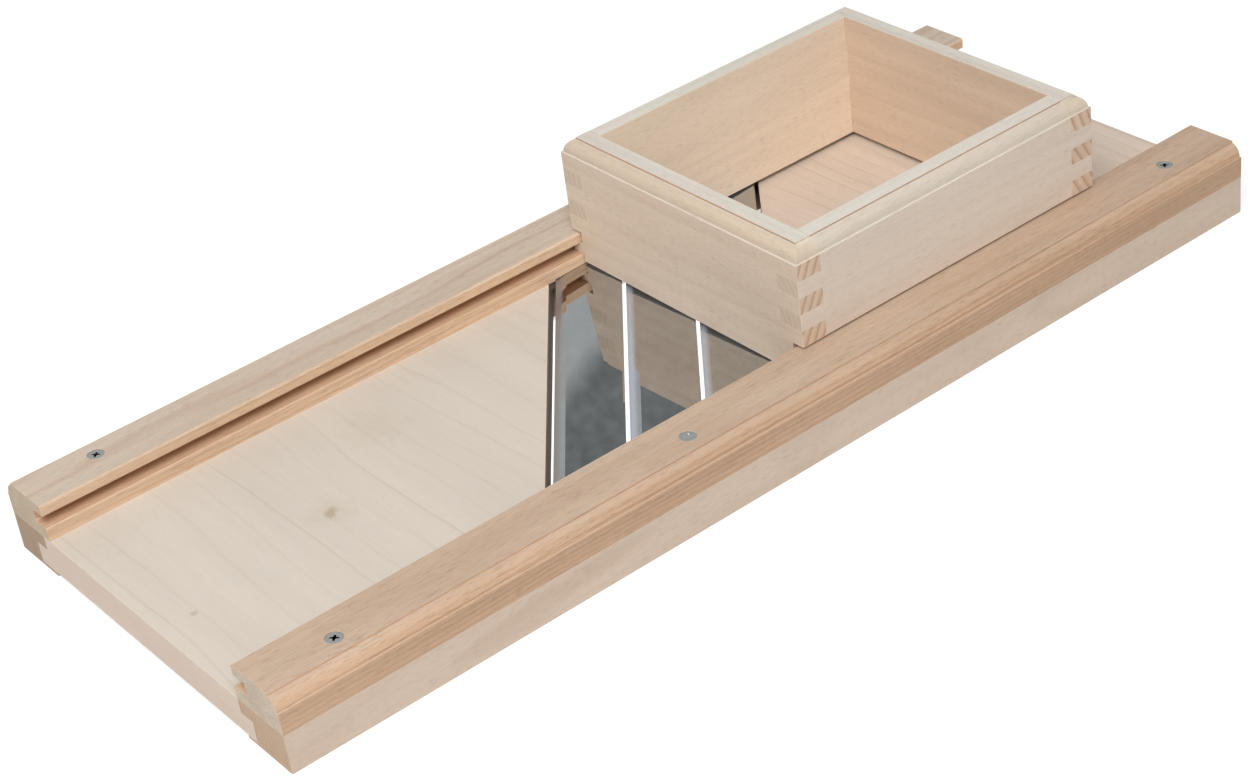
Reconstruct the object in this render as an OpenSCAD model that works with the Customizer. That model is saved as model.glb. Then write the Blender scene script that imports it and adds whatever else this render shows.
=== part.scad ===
// Sliding-box slicing board: beech rails and decks, three diagonal steel blades,
// and a finger-jointed hopper box that runs in grooves along both rails.
// Millimetres.  Origin at the bottom centre, +X along the board, +Z up.
// "near" is the -Y side, "far" is the +Y side, "front" is the -X end.

/* [Board] */
// Length of the rails and of the whole board
board_len = 510; // [440:5:620]
// Width over both rails
board_w = 200; // [170:1:240]
// Height of the deck surface and of the base rails
deck_h = 17.8; // [14:0.2:22]
// Height of the rail tops
rail_h = 34.2; // [30:0.2:42]
// Thickness of the two deck boards
deck_t = 16.2; // [12:0.2:17]
// Thickness of the deck tongues
tongue_t = 9.4; // [6:0.2:10]
// Length of the deck tongues
tongue_len = 8; // [5:0.5:10]

/* [Rails] */
// Width of the rail tops
rail_w = 29.3; // [26:0.1:36]
// Inset of the rail top behind the outer face
rail_inset = 5; // [3:0.1:5.5]
// Height where the rounded outer edge begins
ovolo_h = 27.7; // [26:0.1:28.5]
// Radius of the rounded outer edge
ovolo_r = 5.8; // [5:0.1:6.4]
// Width of the foot of each base rail
foot_w = 29; // [26:0.2:34]
// Reach of the near base rail lip over its deck tongue
near_lip = 30.5; // [28:0.5:34]
// Reach of the far base rail lip over its deck tongue
far_lip = 25; // [23:0.5:34]

/* [Grooves] */
// Height of the bottom of the guide groove
groove_z = 24; // [22:0.1:25]
// Height of the guide groove opening
groove_open = 5.4; // [5:0.1:6]
// Distance of the groove bottom from the outer face
groove_back = 21.5; // [18:0.5:23]
// How far the lower groove lip stands out past the upper one
lip_step = 0.9; // [0:0.1:1]

/* [Blades] */
// Angle of the blades away from square across the board
blade_angle = 38.5; // [20:0.5:45]
// Width of one blade across its edges
blade_w = 29.4; // [22:0.1:32]
// Thickness of one blade
blade_t = 1.4; // [1:0.1:2]
// Spacing of the blades across their edges
blade_pitch = 30.9; // [24:0.1:34]
// Rise of each blade from its low edge to its cutting edge
blade_rise = 1.53; // [0.4:0.1:2]
// Height of the cutting edges above the deck surface
edge_proud = 2.1; // [0.2:0.1:2.5]
// Position along the board of the low edge of the first blade
blade_x = -55.4; // [-80:0.2:-30]
// Width of the two ground facets on the low edge
facet_w = 4.8; // [2:0.1:6]
// How far a blade end goes in past the shortest rail lip
blade_hold = 5; // [3:0.5:8]
// Gap between the front deck and the first blade
front_slot = 3.1; // [1.5:0.1:5]
// Gap between the last blade and the rear deck
rear_slot = 2; // [1.5:0.1:5]

/* [Box] */
// Outside length of the box
box_len = 170; // [140:1:200]
// Distance of the box faces from the outer faces of the board
box_side = 24.4; // [23:0.1:26]
// Height of the box rim
box_top = 80; // [70:0.5:110]
// Thickness of the box walls
wall_t = 12.8; // [11:0.1:14]
// Position of the box centre along the board
box_x = 101.5; // [-150:0.5:150]
// Height where the rim moulding begins
mould_h = 73.4; // [62:0.2:100]
// Radius of the rim moulding
mould_r = 6; // [5:0.1:7]
// Inset of the rim behind the wall faces
rim_inset = 5.3; // [4:0.1:6]

/* [Screws] */
// Diameter of the screw heads
head_d = 7.2; // [6:0.1:9]
// Diameter of the screw shanks
shank_d = 3.4; // [2.5:0.1:4.5]
// Length of the screws
screw_len = 30; // [22:1:33]
// Distance of the screws from the outer faces
screw_in = 13.8; // [11:0.1:16]
// Distance of the end screws from the rail ends
screw_end = 34.5; // [20:0.5:60]
// Distance of the middle screws from the board centre
screw_mid = 54; // [30:1:90]

/* [Hidden] */
$fn = 48;
// clearances
fit = 0.1;
slide = 0.3;
over_gap = 1;
foot_gap = 0.5;
side_gap = 0.8;
hole_gap = 0.05;
edge_land = 0.15;
// rails
half_w = board_w / 2;
half_l = board_len / 2;
cap_h = rail_h - deck_h;
lip_in = rail_w + lip_step;
ovolo_ledge = 0.9;
tongue_z = deck_h - deck_t;
// blades: u runs square to the edges, v along them
ca = cos(blade_angle);
sa = sin(blade_angle);
ta = sa / ca;
cut_z = deck_h + edge_proud;
low_z = cut_z - blade_rise;
half_v = half_w / ca + 40;
hold_y = half_w - min(rail_w, near_lip, far_lip) + blade_hold;
deck_front_x = blade_x - front_slot / ca;
last_x = blade_x + (2 * blade_pitch + blade_w) / ca;
deck_rear_x = last_x + rear_slot / ca;
// box
out_y = half_w - box_side;
low_y = half_w - lip_in - side_gap;
tip_y = out_y;
in_y = out_y - wall_t;
out_x = box_len / 2;
in_x = out_x - wall_t;
over_z = rail_h + over_gap;
run_z = groove_z + slide;
run_top = groove_z + groove_open - slide;
foot_z = cut_z + foot_gap;
finger = (mould_h - over_z) / 5;
mould_ledge = 0.9;

// ---------------------------------------------------------------- helpers

// extrude a section drawn as [distance from outer face, height] along one side
module along_near(len) {
    translate([-len / 2, -half_w, 0])
        rotate([90, 0, 90])
            linear_extrude(height = len) children();
}

module along_far(len) {
    mirror([0, 1, 0]) along_near(len) children();
}

// section of a base rail whose lip reaches lip_u over the deck tongue
module base_section(lip_u) {
    back = lip_u - tongue_len - 0.3;
    polygon([[0, 0], [foot_w, 0], [foot_w, tongue_z - fit],
             [back, tongue_z - fit], [back, tongue_z + tongue_t + fit],
             [lip_u, tongue_z + tongue_t + fit], [lip_u, deck_h], [0, deck_h]]);
}

// section of a guide rail: rounded outer edge and open groove inside
module guide_section() {
    polygon([[0, deck_h], [lip_in, deck_h], [lip_in, groove_z - 0.4],
             [lip_in - 0.4, groove_z],
             [groove_back + 0.6, groove_z], [groove_back, groove_z + 0.6],
             [groove_back + 0.4, groove_z + groove_open],
             [rail_w, groove_z + groove_open],
             [rail_w, rail_h - 0.7], [rail_w - 0.7, rail_h],
             [rail_inset, rail_h], [rail_inset, ovolo_h], [0, ovolo_h]]);
    intersection() {
        translate([ovolo_ledge + ovolo_r, ovolo_h]) circle(r = ovolo_r);
        translate([ovolo_ledge, ovolo_h - 0.01])
            square([rail_inset - ovolo_ledge + 0.01, ovolo_r + 0.02]);
    }
}

// screw positions as [x, distance side]: near row, then far row
near_x = [-half_l + screw_end, -screw_mid, half_l - screw_end];
far_x = [-half_l + screw_end, screw_mid, half_l - screw_end];

module screw_at(x, side) {
    translate([x, side * (half_w - screw_in), rail_h]) children();
}

// clearance for one screw through the guide rail and into the base rail
module screw_hole() {
    sink = (head_d - shank_d) / 2;
    translate([0, 0, -screw_len - 0.4])
        cylinder(h = screw_len + 1, d = shank_d + 2 * hole_gap);
    translate([0, 0, -sink - 0.25])
        cylinder(h = sink, d1 = shank_d + 2 * hole_gap, d2 = head_d + 2 * hole_gap);
    translate([0, 0, -0.26])
        cylinder(h = 1, d = head_d + 2 * hole_gap);
}

module screw() {
    sink = (head_d - shank_d) / 2;
    difference() {
        union() {
            translate([0, 0, -sink - 0.25])
                cylinder(h = sink, d1 = shank_d, d2 = head_d);
            translate([0, 0, -0.25 - 0.01])
                cylinder(h = 0.11, d = head_d);
            translate([0, 0, -screw_len + 2.5])
                cylinder(h = screw_len - 3, d = shank_d);
            translate([0, 0, -screw_len])
                cylinder(h = 2.5, d1 = 0.6, d2 = shank_d);
        }
        for (turn = [45, 135])
            rotate([0, 0, turn])
                translate([-head_d * 0.29, -0.45, -1.8]) cube([head_d * 0.58, 0.9, 3]);
        translate([0, 0, -1.6])
            cylinder(h = 1.6, d1 = 1.4, d2 = 2.2);
    }
}

// place a section drawn across the blade edges: [u, height], run along v
module across_blade() {
    rotate([0, 0, -blade_angle])
        translate([0, half_v, 0])
            rotate([90, 0, 0])
                linear_extrude(height = 2 * half_v) children();
}

// blade k (0, 1, 2): low edge at u = 0 in its own section
module blade_shape(k, grow) {
    x0 = blade_x + k * blade_pitch / ca;
    mid = facet_w / 2;
    slope = blade_rise / blade_w;
    intersection() {
        translate([x0, 0, 0]) across_blade()
            if (grow > 0)
                polygon([[-grow, low_z - blade_t - grow],
                         [blade_w + grow, cut_z - blade_t - grow],
                         [blade_w + grow, cut_z + grow],
                         [-grow, low_z + grow]]);
            else
                polygon([[0, low_z - blade_t],
                         [blade_w - 3.4, cut_z - blade_t - 3.4 * slope],
                         [blade_w, cut_z - 0.14 - edge_land],
                         [blade_w, cut_z - 0.14],
                         [blade_w - 0.8, cut_z - 0.8 * slope],
                         [facet_w, low_z + facet_w * slope],
                         [mid, low_z + mid * slope - 0.26],
                         [0, low_z - 0.8]]);
        translate([-half_l, -hold_y - grow, 0])
            cube([board_len, 2 * (hold_y + grow), rail_h]);
    }
}

module blade_pockets() {
    for (k = [0 : 2]) blade_shape(k, fit);
}

// deck board from x0 to x1; each end line leans by its slope times y
module deck(x0, s0, x1, s1) {
    ny = -half_w + near_lip + fit;
    fy = half_w - far_lip - fit;
    tz = tongue_z + tongue_t;
    y = half_w;
    intersection() {
        translate([-half_l, 0, 0]) rotate([90, 0, 90])
            linear_extrude(height = board_len)
                polygon([[ny - tongue_len, tongue_z], [fy + tongue_len, tongue_z],
                         [fy + tongue_len, tz], [fy, tz], [fy, deck_h],
                         [ny, deck_h], [ny, tz], [ny - tongue_len, tz]]);
        linear_extrude(height = rail_h)
            polygon([[x0 - s0 * y, -y], [x1 - s1 * y, -y],
                     [x1 + s1 * y, y], [x0 + s0 * y, y]]);
    }
}

// half section of the box outside: [distance from the centre, height]
module box_half_section(half, low, tip) {
    polygon([[0, foot_z], [low, foot_z], [low, run_z], [tip, run_z],
             [tip, run_top], [low, run_top], [low, over_z], [half, over_z],
             [half, mould_h], [half - rim_inset, mould_h],
             [half - rim_inset, box_top], [0, box_top]]);
    intersection() {
        translate([half - mould_ledge - mould_r, mould_h]) circle(r = mould_r);
        translate([half - rim_inset - 0.01, mould_h - 0.01])
            square([rim_inset - mould_ledge + 0.01, mould_r + 0.02]);
    }
}

module box_section(half, low, tip) {
    box_half_section(half, low, tip);
    mirror([1, 0]) box_half_section(half, low, tip);
}

// the whole box as one moulded ring, before it is split into walls
module box_ring() {
    difference() {
        intersection() {
            translate([-out_x, 0, 0]) rotate([90, 0, 90])
                linear_extrude(height = box_len) box_section(out_y, low_y, tip_y);
            translate([0, half_w, 0]) rotate([90, 0, 0])
                linear_extrude(height = board_w) box_section(out_x, out_x, out_x);
        }
        translate([-in_x, -in_y, 0]) cube([2 * in_x, 2 * in_y, box_top + 1]);
    }
}

// corner blocks held by the side walls (second and fourth fingers); they
// reach inwards by reach_x along the board and stop at the inner wall face
module side_fingers(reach_x, gap) {
    for (k = [1, 3], sx = [0, 1], sy = [0, 1])
        mirror([sx, 0, 0]) mirror([0, sy, 0])
            translate([in_x - reach_x, in_y, over_z + k * finger + gap])
                cube([wall_t + reach_x + 1, wall_t + 1, finger - 2 * gap]);
}

// front (side -1) or back (side 1) wall with its outer fingers
module end_wall(side) {
    translate([box_x, 0, 0]) difference() {
        intersection() {
            box_ring();
            translate([side * (in_x + wall_t), 0, 0])
                cube([2 * wall_t, board_w, 2 * box_top + 2], center = true);
        }
        side_fingers(1, 0);
    }
}

// near (side -1) or far (side 1) wall with its two inner fingers
module side_wall(side) {
    glue = 0.02;
    translate([box_x, 0, 0]) intersection() {
        box_ring();
        translate([0, side * half_w, 0])
            cube([board_len, board_w, 2 * box_top + 2], center = true);
        union() {
            cube([2 * (in_x - glue), board_w, 2 * box_top + 2], center = true);
            side_fingers(1, glue);
        }
    }
}

// ---------------------------------------------------------------- pieces

module near_base_rail() {
    color([0.86, 0.77, 0.66])
        difference() {
            along_near(board_len) base_section(near_lip);
            blade_pockets();
            for (x = near_x) screw_at(x, -1) screw_hole();
        }
}

module far_base_rail() {
    color([0.86, 0.77, 0.66])
        difference() {
            along_far(board_len) base_section(far_lip);
            blade_pockets();
            for (x = far_x) screw_at(x, 1) screw_hole();
        }
}

module near_guide_rail() {
    color([0.82, 0.70, 0.58])
        difference() {
            along_near(board_len) guide_section();
            blade_pockets();
            for (x = near_x) screw_at(x, -1) screw_hole();
        }
}

module far_guide_rail() {
    color([0.82, 0.70, 0.58])
        difference() {
            along_far(board_len) guide_section();
            blade_pockets();
            for (x = far_x) screw_at(x, 1) screw_hole();
        }
}

module front_deck() {
    color([0.87, 0.81, 0.73]) deck(-half_l - 1, 0, deck_front_x, ta);
}

module rear_deck() {
    color([0.87, 0.81, 0.73]) deck(deck_rear_x, ta, half_l + 1, 0);
}

module blade_front() {
    color([0.66, 0.68, 0.70]) blade_shape(0, 0);
}

module blade_middle() {
    color([0.66, 0.68, 0.70]) blade_shape(1, 0);
}

module blade_rear() {
    color([0.66, 0.68, 0.70]) blade_shape(2, 0);
}

module rail_screws() {
    color([0.60, 0.62, 0.64]) {
        for (x = near_x) screw_at(x, -1) screw();
        for (x = far_x) screw_at(x, 1) screw();
    }
}

module box_front_wall() {
    color([0.85, 0.76, 0.67]) end_wall(-1);
}

module box_back_wall() {
    color([0.85, 0.76, 0.67]) end_wall(1);
}

module box_near_wall() {
    color([0.84, 0.75, 0.65]) side_wall(-1);
}

module box_far_wall() {
    color([0.84, 0.75, 0.65]) side_wall(1);
}

near_base_rail();
far_base_rail();
near_guide_rail();
far_guide_rail();
front_deck();
rear_deck();
blade_front();
blade_middle();
blade_rear();
rail_screws();
box_front_wall();
box_back_wall();
box_near_wall();
box_far_wall();
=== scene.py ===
"""Looks for a beech slicing board with three diagonal steel blades and a sliding box.

Everything is in metres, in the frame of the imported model: +X along the board,
towards the end where the box rests, "near" is the -Y side, +Z is up.
"""

import math

import bmesh
import bpy
from bpy.props import FloatProperty, FloatVectorProperty, PointerProperty
from mathutils import Matrix, Vector


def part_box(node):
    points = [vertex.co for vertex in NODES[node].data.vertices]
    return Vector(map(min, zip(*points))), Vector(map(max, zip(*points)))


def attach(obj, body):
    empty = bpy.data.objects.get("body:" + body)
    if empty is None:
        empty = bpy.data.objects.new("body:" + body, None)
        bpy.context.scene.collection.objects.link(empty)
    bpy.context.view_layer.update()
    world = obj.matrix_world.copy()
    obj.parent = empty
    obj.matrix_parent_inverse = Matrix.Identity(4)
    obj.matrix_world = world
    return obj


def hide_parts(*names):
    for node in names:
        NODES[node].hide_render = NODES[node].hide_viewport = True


bl_info = {
    "name": "Slicing Board",
    "version": (1, 0, 0),
    "blender": (4, 5, 0),
    "location": "View3D > Sidebar > Slicing Board",
    "description": "Beech, steel and stage for a sliding-box slicing board",
    "category": "Object",
}

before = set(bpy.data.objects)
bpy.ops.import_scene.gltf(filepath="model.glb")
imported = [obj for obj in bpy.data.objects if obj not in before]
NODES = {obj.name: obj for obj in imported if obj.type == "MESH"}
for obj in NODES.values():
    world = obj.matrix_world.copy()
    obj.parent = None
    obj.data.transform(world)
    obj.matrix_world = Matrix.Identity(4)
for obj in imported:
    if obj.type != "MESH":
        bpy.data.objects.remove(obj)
bpy.context.view_layer.update()

MM = 0.001

BLADE_RUN = math.radians(38.5)  # how far off square the blades lie
FACET_MARGIN = 0.3 * MM  # the facets' colour starts this far before the low edge
GROOVE_REACH = 85.0 * MM  # the grooves lie no further from the board's middle
# the grooves' colour is painted bounce light
GROOVE_MARGIN = 0.2 * MM  # the grooves' colour goes this far past their lips
CORE_MARGIN = 0.5 * MM  # the core is the box's inside and this much of its walls
MITRE_MARGIN = 0.3 * MM  # mitre edges aren't eased from this far above the moulding's foot
SCREW_APART = 12.0 * MM  # points closer than this belong to the same screw
SCREW_STEPS = 48  # facets round a screw

FLOOR_HALF = 30.0  # from the middle of the floor to its edge
CARD_NEAR, CARD_FAR = -64.0 * MM, 68.0 * MM  # sides of the two cards under the blades
CARD_HEIGHT = 0.6 * MM
# the dark card under the box is painted shade
CARD_SPLIT = 26.0 * MM  # the plain card starts this far behind the box's front face
CARD_BEYOND = 60.0 * MM  # and ends this far behind the last blade

FAR_SIDE = Vector((0.43, 0.80, 0.42)).normalized()  # middle of what the blades reflect
ROOM_TILT = 0.6  # slope of the edge between the light band and the dim part
BAND_TOP = 0.784  # height of that edge where X is 0
LAMP_PLACE = (-0.96, -1.03, 1.69)
LAMP_AIM = Vector((0.0, 0.0, 0.03))
LAMP_SIZE = 1.2
CAMERA_PLACE = (-0.55911, -0.76993, 0.61032)
CAMERA_LOOK = Vector((0.48064, 0.68731, -0.54460))
CAMERA_RIGHT = Vector((0.76829, -0.62944, -0.11632))


# ------------------------------------------------------------------ settings


def length(name, description, default, low=0.0, high=10.0):
    return FloatProperty(
        name=name, description=description, default=default,
        min=low, max=high, unit="LENGTH", precision=5,
    )


def amount(name, description, default, low=0.0, high=1.0):
    return FloatProperty(
        name=name, description=description, default=default,
        min=low, max=high, subtype="FACTOR",
    )


def colour(name, description, default):
    return FloatVectorProperty(
        name=name, description=description, default=default,
        size=3, min=0.0, max=1.0, subtype="COLOR",
    )


class BeechSettings(bpy.types.PropertyGroup):
    deck: colour("Deck", "Pale planed beech of the front deck", (0.672, 0.606, 0.524))
    rear: colour("Rear deck", "Pinker beech of the rear deck", (0.72, 0.60, 0.50))
    deck_line: colour("Deck lines", "Late wood lines on the deck boards", (0.42, 0.30, 0.20))
    near_cap: colour("Near guide rail", "Steamed beech of the near rail", (0.585, 0.445, 0.335))
    near_side: colour("Near guide rail side", "Upright faces of the near rail", (0.64, 0.43, 0.285))
    far_cap: colour("Far guide rail", "Paler beech of the far rail", (0.635, 0.53, 0.43))
    far_side: colour("Far guide rail side", "Fresh inner lips of the far rail", (0.77, 0.545, 0.37))
    cap_line: colour("Guide rail lines", "Late wood lines on the guide rails", (0.33, 0.17, 0.085))
    base: colour("Base rail", "Pale beech of the base rails", (0.75, 0.605, 0.485))
    base_line: colour("Base rail lines", "Late wood lines on the base rails", (0.42, 0.26, 0.16))
    box: colour("Box", "Pale beech of the box front wall", (0.765, 0.635, 0.505))
    box_side: colour("Box side", "Pinker beech of the box side walls", (0.775, 0.66, 0.555))
    box_rim: colour("Box rim", "Freshly sanded rim of the box", (0.735, 0.69, 0.615))
    box_line: colour("Box lines", "Late wood lines on the box walls", (0.44, 0.28, 0.17))
    fleck: colour("Flecks", "Short brown flecks of beech", (0.30, 0.17, 0.10))
    fleck_depth: amount("Fleck depth", "How strongly the flecks show", 0.22)
    edge_ease: length("Eased edges", "Width of the eased edges", 0.3 * MM, 0.0, 0.001)
    # painted bounce light: the warm colour inside the guide grooves stands in for light bounced
    # between their walls
    groove: colour("Groove", "Warm wood inside the guide grooves", (0.69, 0.46, 0.30))
    groove_low: length("Groove floor", "Height of the groove floor", 24.0 * MM, 0.0, 0.05)
    groove_high: length("Groove ceiling", "Height of the groove ceiling", 29.4 * MM, 0.0, 0.05)
    # painted shade: the quirk line colour paints the shade in the small upright step under the box's
    # rim
    quirk_shade: colour("Quirk line", "Brown line left by the cutter under the rim", (0.42, 0.26, 0.17))
    seam_ease: amount("Seam easing", "Easing at glued seams, as a part of the eased edges", 0.15)
    knot_inset: length("Knot place", "Small knot's distance from the front end", 87.5 * MM, 0.0, 0.2)
    rim_depth: length("Rim moulding", "Depth of the moulding round the box", 6.8 * MM, 0.0, 0.02)
    rim_quirk: length("Rim quirk", "Height of the brown ledge at the rim", 0.9 * MM, 0.0, 0.005)


class SteelSettings(bpy.types.PropertyGroup):
    blade: colour("Blade", "Polished blade steel", (0.55, 0.56, 0.57))
    blade_roughness: amount("Blade roughness", "Roughness of the polished blade faces", 0.012)
    # painted reflection: the facet colours are satin ground steel with the pale blue-grey room that
    # they reflect painted in
    ground: colour("Ground facets", "Freshly ground steel", (0.56, 0.60, 0.67))
    # painted reflection: the first blade's browner facet paints in the wood that it reflects
    first_facet_reflection: colour("First facet", "Browner facet of the first blade", (0.30, 0.265, 0.25))
    facet: length("Facet width", "Width of the ground facets", 4.8 * MM, 0.0, 0.01)
    zinc: colour("Zinc", "Zinc plate of the screws", (0.46, 0.49, 0.475))
    zinc_roughness: amount("Zinc roughness", "Roughness of the zinc plate", 0.42)


class ScrewSettings(bpy.types.PropertyGroup):
    head: length("Head", "Diameter of the screw heads", 7.2 * MM, 0.004, 0.012)
    shank: length("Shank", "Diameter of the screw shanks", 3.4 * MM, 0.002, 0.006)
    recess: length("Recess", "Width across the cross recess", 3.9 * MM, 0.002, 0.006)


class StageSettings(bpy.types.PropertyGroup):
    lens: FloatProperty(
        name="Lens", description="Focal length of the camera", default=76.66,
        min=10.0, max=300.0, unit="CAMERA",
    )
    room: amount("Room light", "Brightness of the pale room", 0.42, 0.0, 5.0)
    key: FloatProperty(
        name="Key light", description="Power of the large soft light", default=39.0,
        min=0.0, max=500.0, unit="POWER",
    )
    floor: colour("Floor", "Plain pale floor", (0.50, 0.50, 0.50))
    glow: amount("Floor glow", "How far the floor is lifted towards white", 0.62, 0.0, 2.0)


# ------------------------------------------------------------------ node help


def put(tree, kind, values=None, **attributes):
    """Adds a node, sets its attributes, then its inputs by name or number."""
    made = tree.nodes.new(kind)
    for key, value in attributes.items():
        setattr(made, key, value)
    for key, value in (values or {}).items():
        made.inputs[key].default_value = value
    return made


def join(tree, source, target):
    tree.links.new(source, target)


def sums(tree, operation, first, second=None, third=None, clamp=False):
    """A Math node; each operand is a number or another node's output."""
    made = put(tree, "ShaderNodeMath", operation=operation, use_clamp=clamp)
    for slot, operand in enumerate((first, second, third)):
        if operand is None:
            continue
        if isinstance(operand, bpy.types.NodeSocket):
            join(tree, operand, made.inputs[slot])
        else:
            made.inputs[slot].default_value = operand
    return made.outputs[0]


def times(tree, first, second, clamp=False):
    return sums(tree, "MULTIPLY", first, second, clamp=clamp)


def fused(tree, first, second, third, clamp=False):
    """first times second, plus third."""
    return sums(tree, "MULTIPLY_ADD", first, second, third, clamp)


def inverse(tree, mask):
    return sums(tree, "SUBTRACT", 1.0, mask)


def centred(tree, noise):
    return sums(tree, "SUBTRACT", noise, 0.5)


def axes(tree, vector):
    """The X, Y and Z of a vector."""
    made = put(tree, "ShaderNodeSeparateXYZ")
    join(tree, vector, made.inputs[0])
    return made.outputs


def vector_sum(tree, operation, first, second, result="Value"):
    """A Vector Math node; the second operand is a vector, a number or an output."""
    made = put(tree, "ShaderNodeVectorMath", operation=operation)
    join(tree, first, made.inputs[0])
    target = made.inputs["Scale" if operation == "SCALE" else 1]
    if isinstance(second, bpy.types.NodeSocket):
        join(tree, second, target)
    else:
        target.default_value = second
    return made.outputs[result]


def blend_colours(tree, factor, first, second):
    """A colour Mix node: the factor is an output, the others colours or outputs."""
    made = put(tree, "ShaderNodeMix", data_type="RGBA")
    join(tree, factor, made.inputs[0])
    for slot, operand in ((6, first), (7, second)):
        if isinstance(operand, bpy.types.NodeSocket):
            join(tree, operand, made.inputs[slot])
        else:
            made.inputs[slot].default_value = (*operand, 1.0)
    return made.outputs[2]


def ramp(tree, source, stops):
    """A grey Color Ramp: stops are (position, brightness)."""
    made = put(tree, "ShaderNodeValToRGB")
    elements = made.color_ramp.elements
    while len(elements) < len(stops):
        elements.new(0.5)
    for element, (position, shade) in zip(elements, stops):
        element.position = position
        element.color = (shade, shade, shade, 1.0)
    join(tree, source, made.inputs[0])
    return made.outputs[0]


def noise(tree, vector, values):
    made = put(tree, "ShaderNodeTexNoise", values)
    join(tree, vector, made.inputs["Vector"])
    return made.outputs["Fac"]


def stretched_noise(tree, vector, scale, detail=2.0, roughness=0.5):
    """Noise whose scale along each axis is given in cycles per metre."""
    spread = vector_sum(tree, "MULTIPLY", vector, scale, "Vector")
    return noise(tree, spread, {"Scale": 1.0, "Detail": detail, "Roughness": roughness})


def new_group(name, inputs, outputs, family="ShaderNodeTree"):
    """A node group with named sockets: (name, kind, default) and (name, kind)."""
    tree = bpy.data.node_groups.new(name, family)
    for title, kind, default in inputs:
        made = tree.interface.new_socket(title, in_out="INPUT", socket_type=kind)
        if default is not None:
            made.default_value = default
    for title, kind in outputs:
        tree.interface.new_socket(title, in_out="OUTPUT", socket_type=kind)
    given = tree.nodes.new("NodeGroupInput").outputs
    return tree, given, tree.nodes.new("NodeGroupOutput").inputs


def use_group(tree, group, **links):
    """Places a group in a material; values are numbers, colours or outputs."""
    made = put(tree, "ShaderNodeGroup", node_tree=group)
    for key, value in links.items():
        target = made.inputs[key.replace("_", " ")]
        if isinstance(value, bpy.types.NodeSocket):
            join(tree, value, target)
        elif target.type == "RGBA":
            target.default_value = (*value, 1.0)
        else:
            target.default_value = value
    return made.outputs


# ------------------------------------------------------------------ shared effects

NUMBER, COLOUR = "NodeSocketFloat", "NodeSocketColor"
VECTOR, GEOMETRY = "NodeSocketVector", "NodeSocketGeometry"


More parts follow.
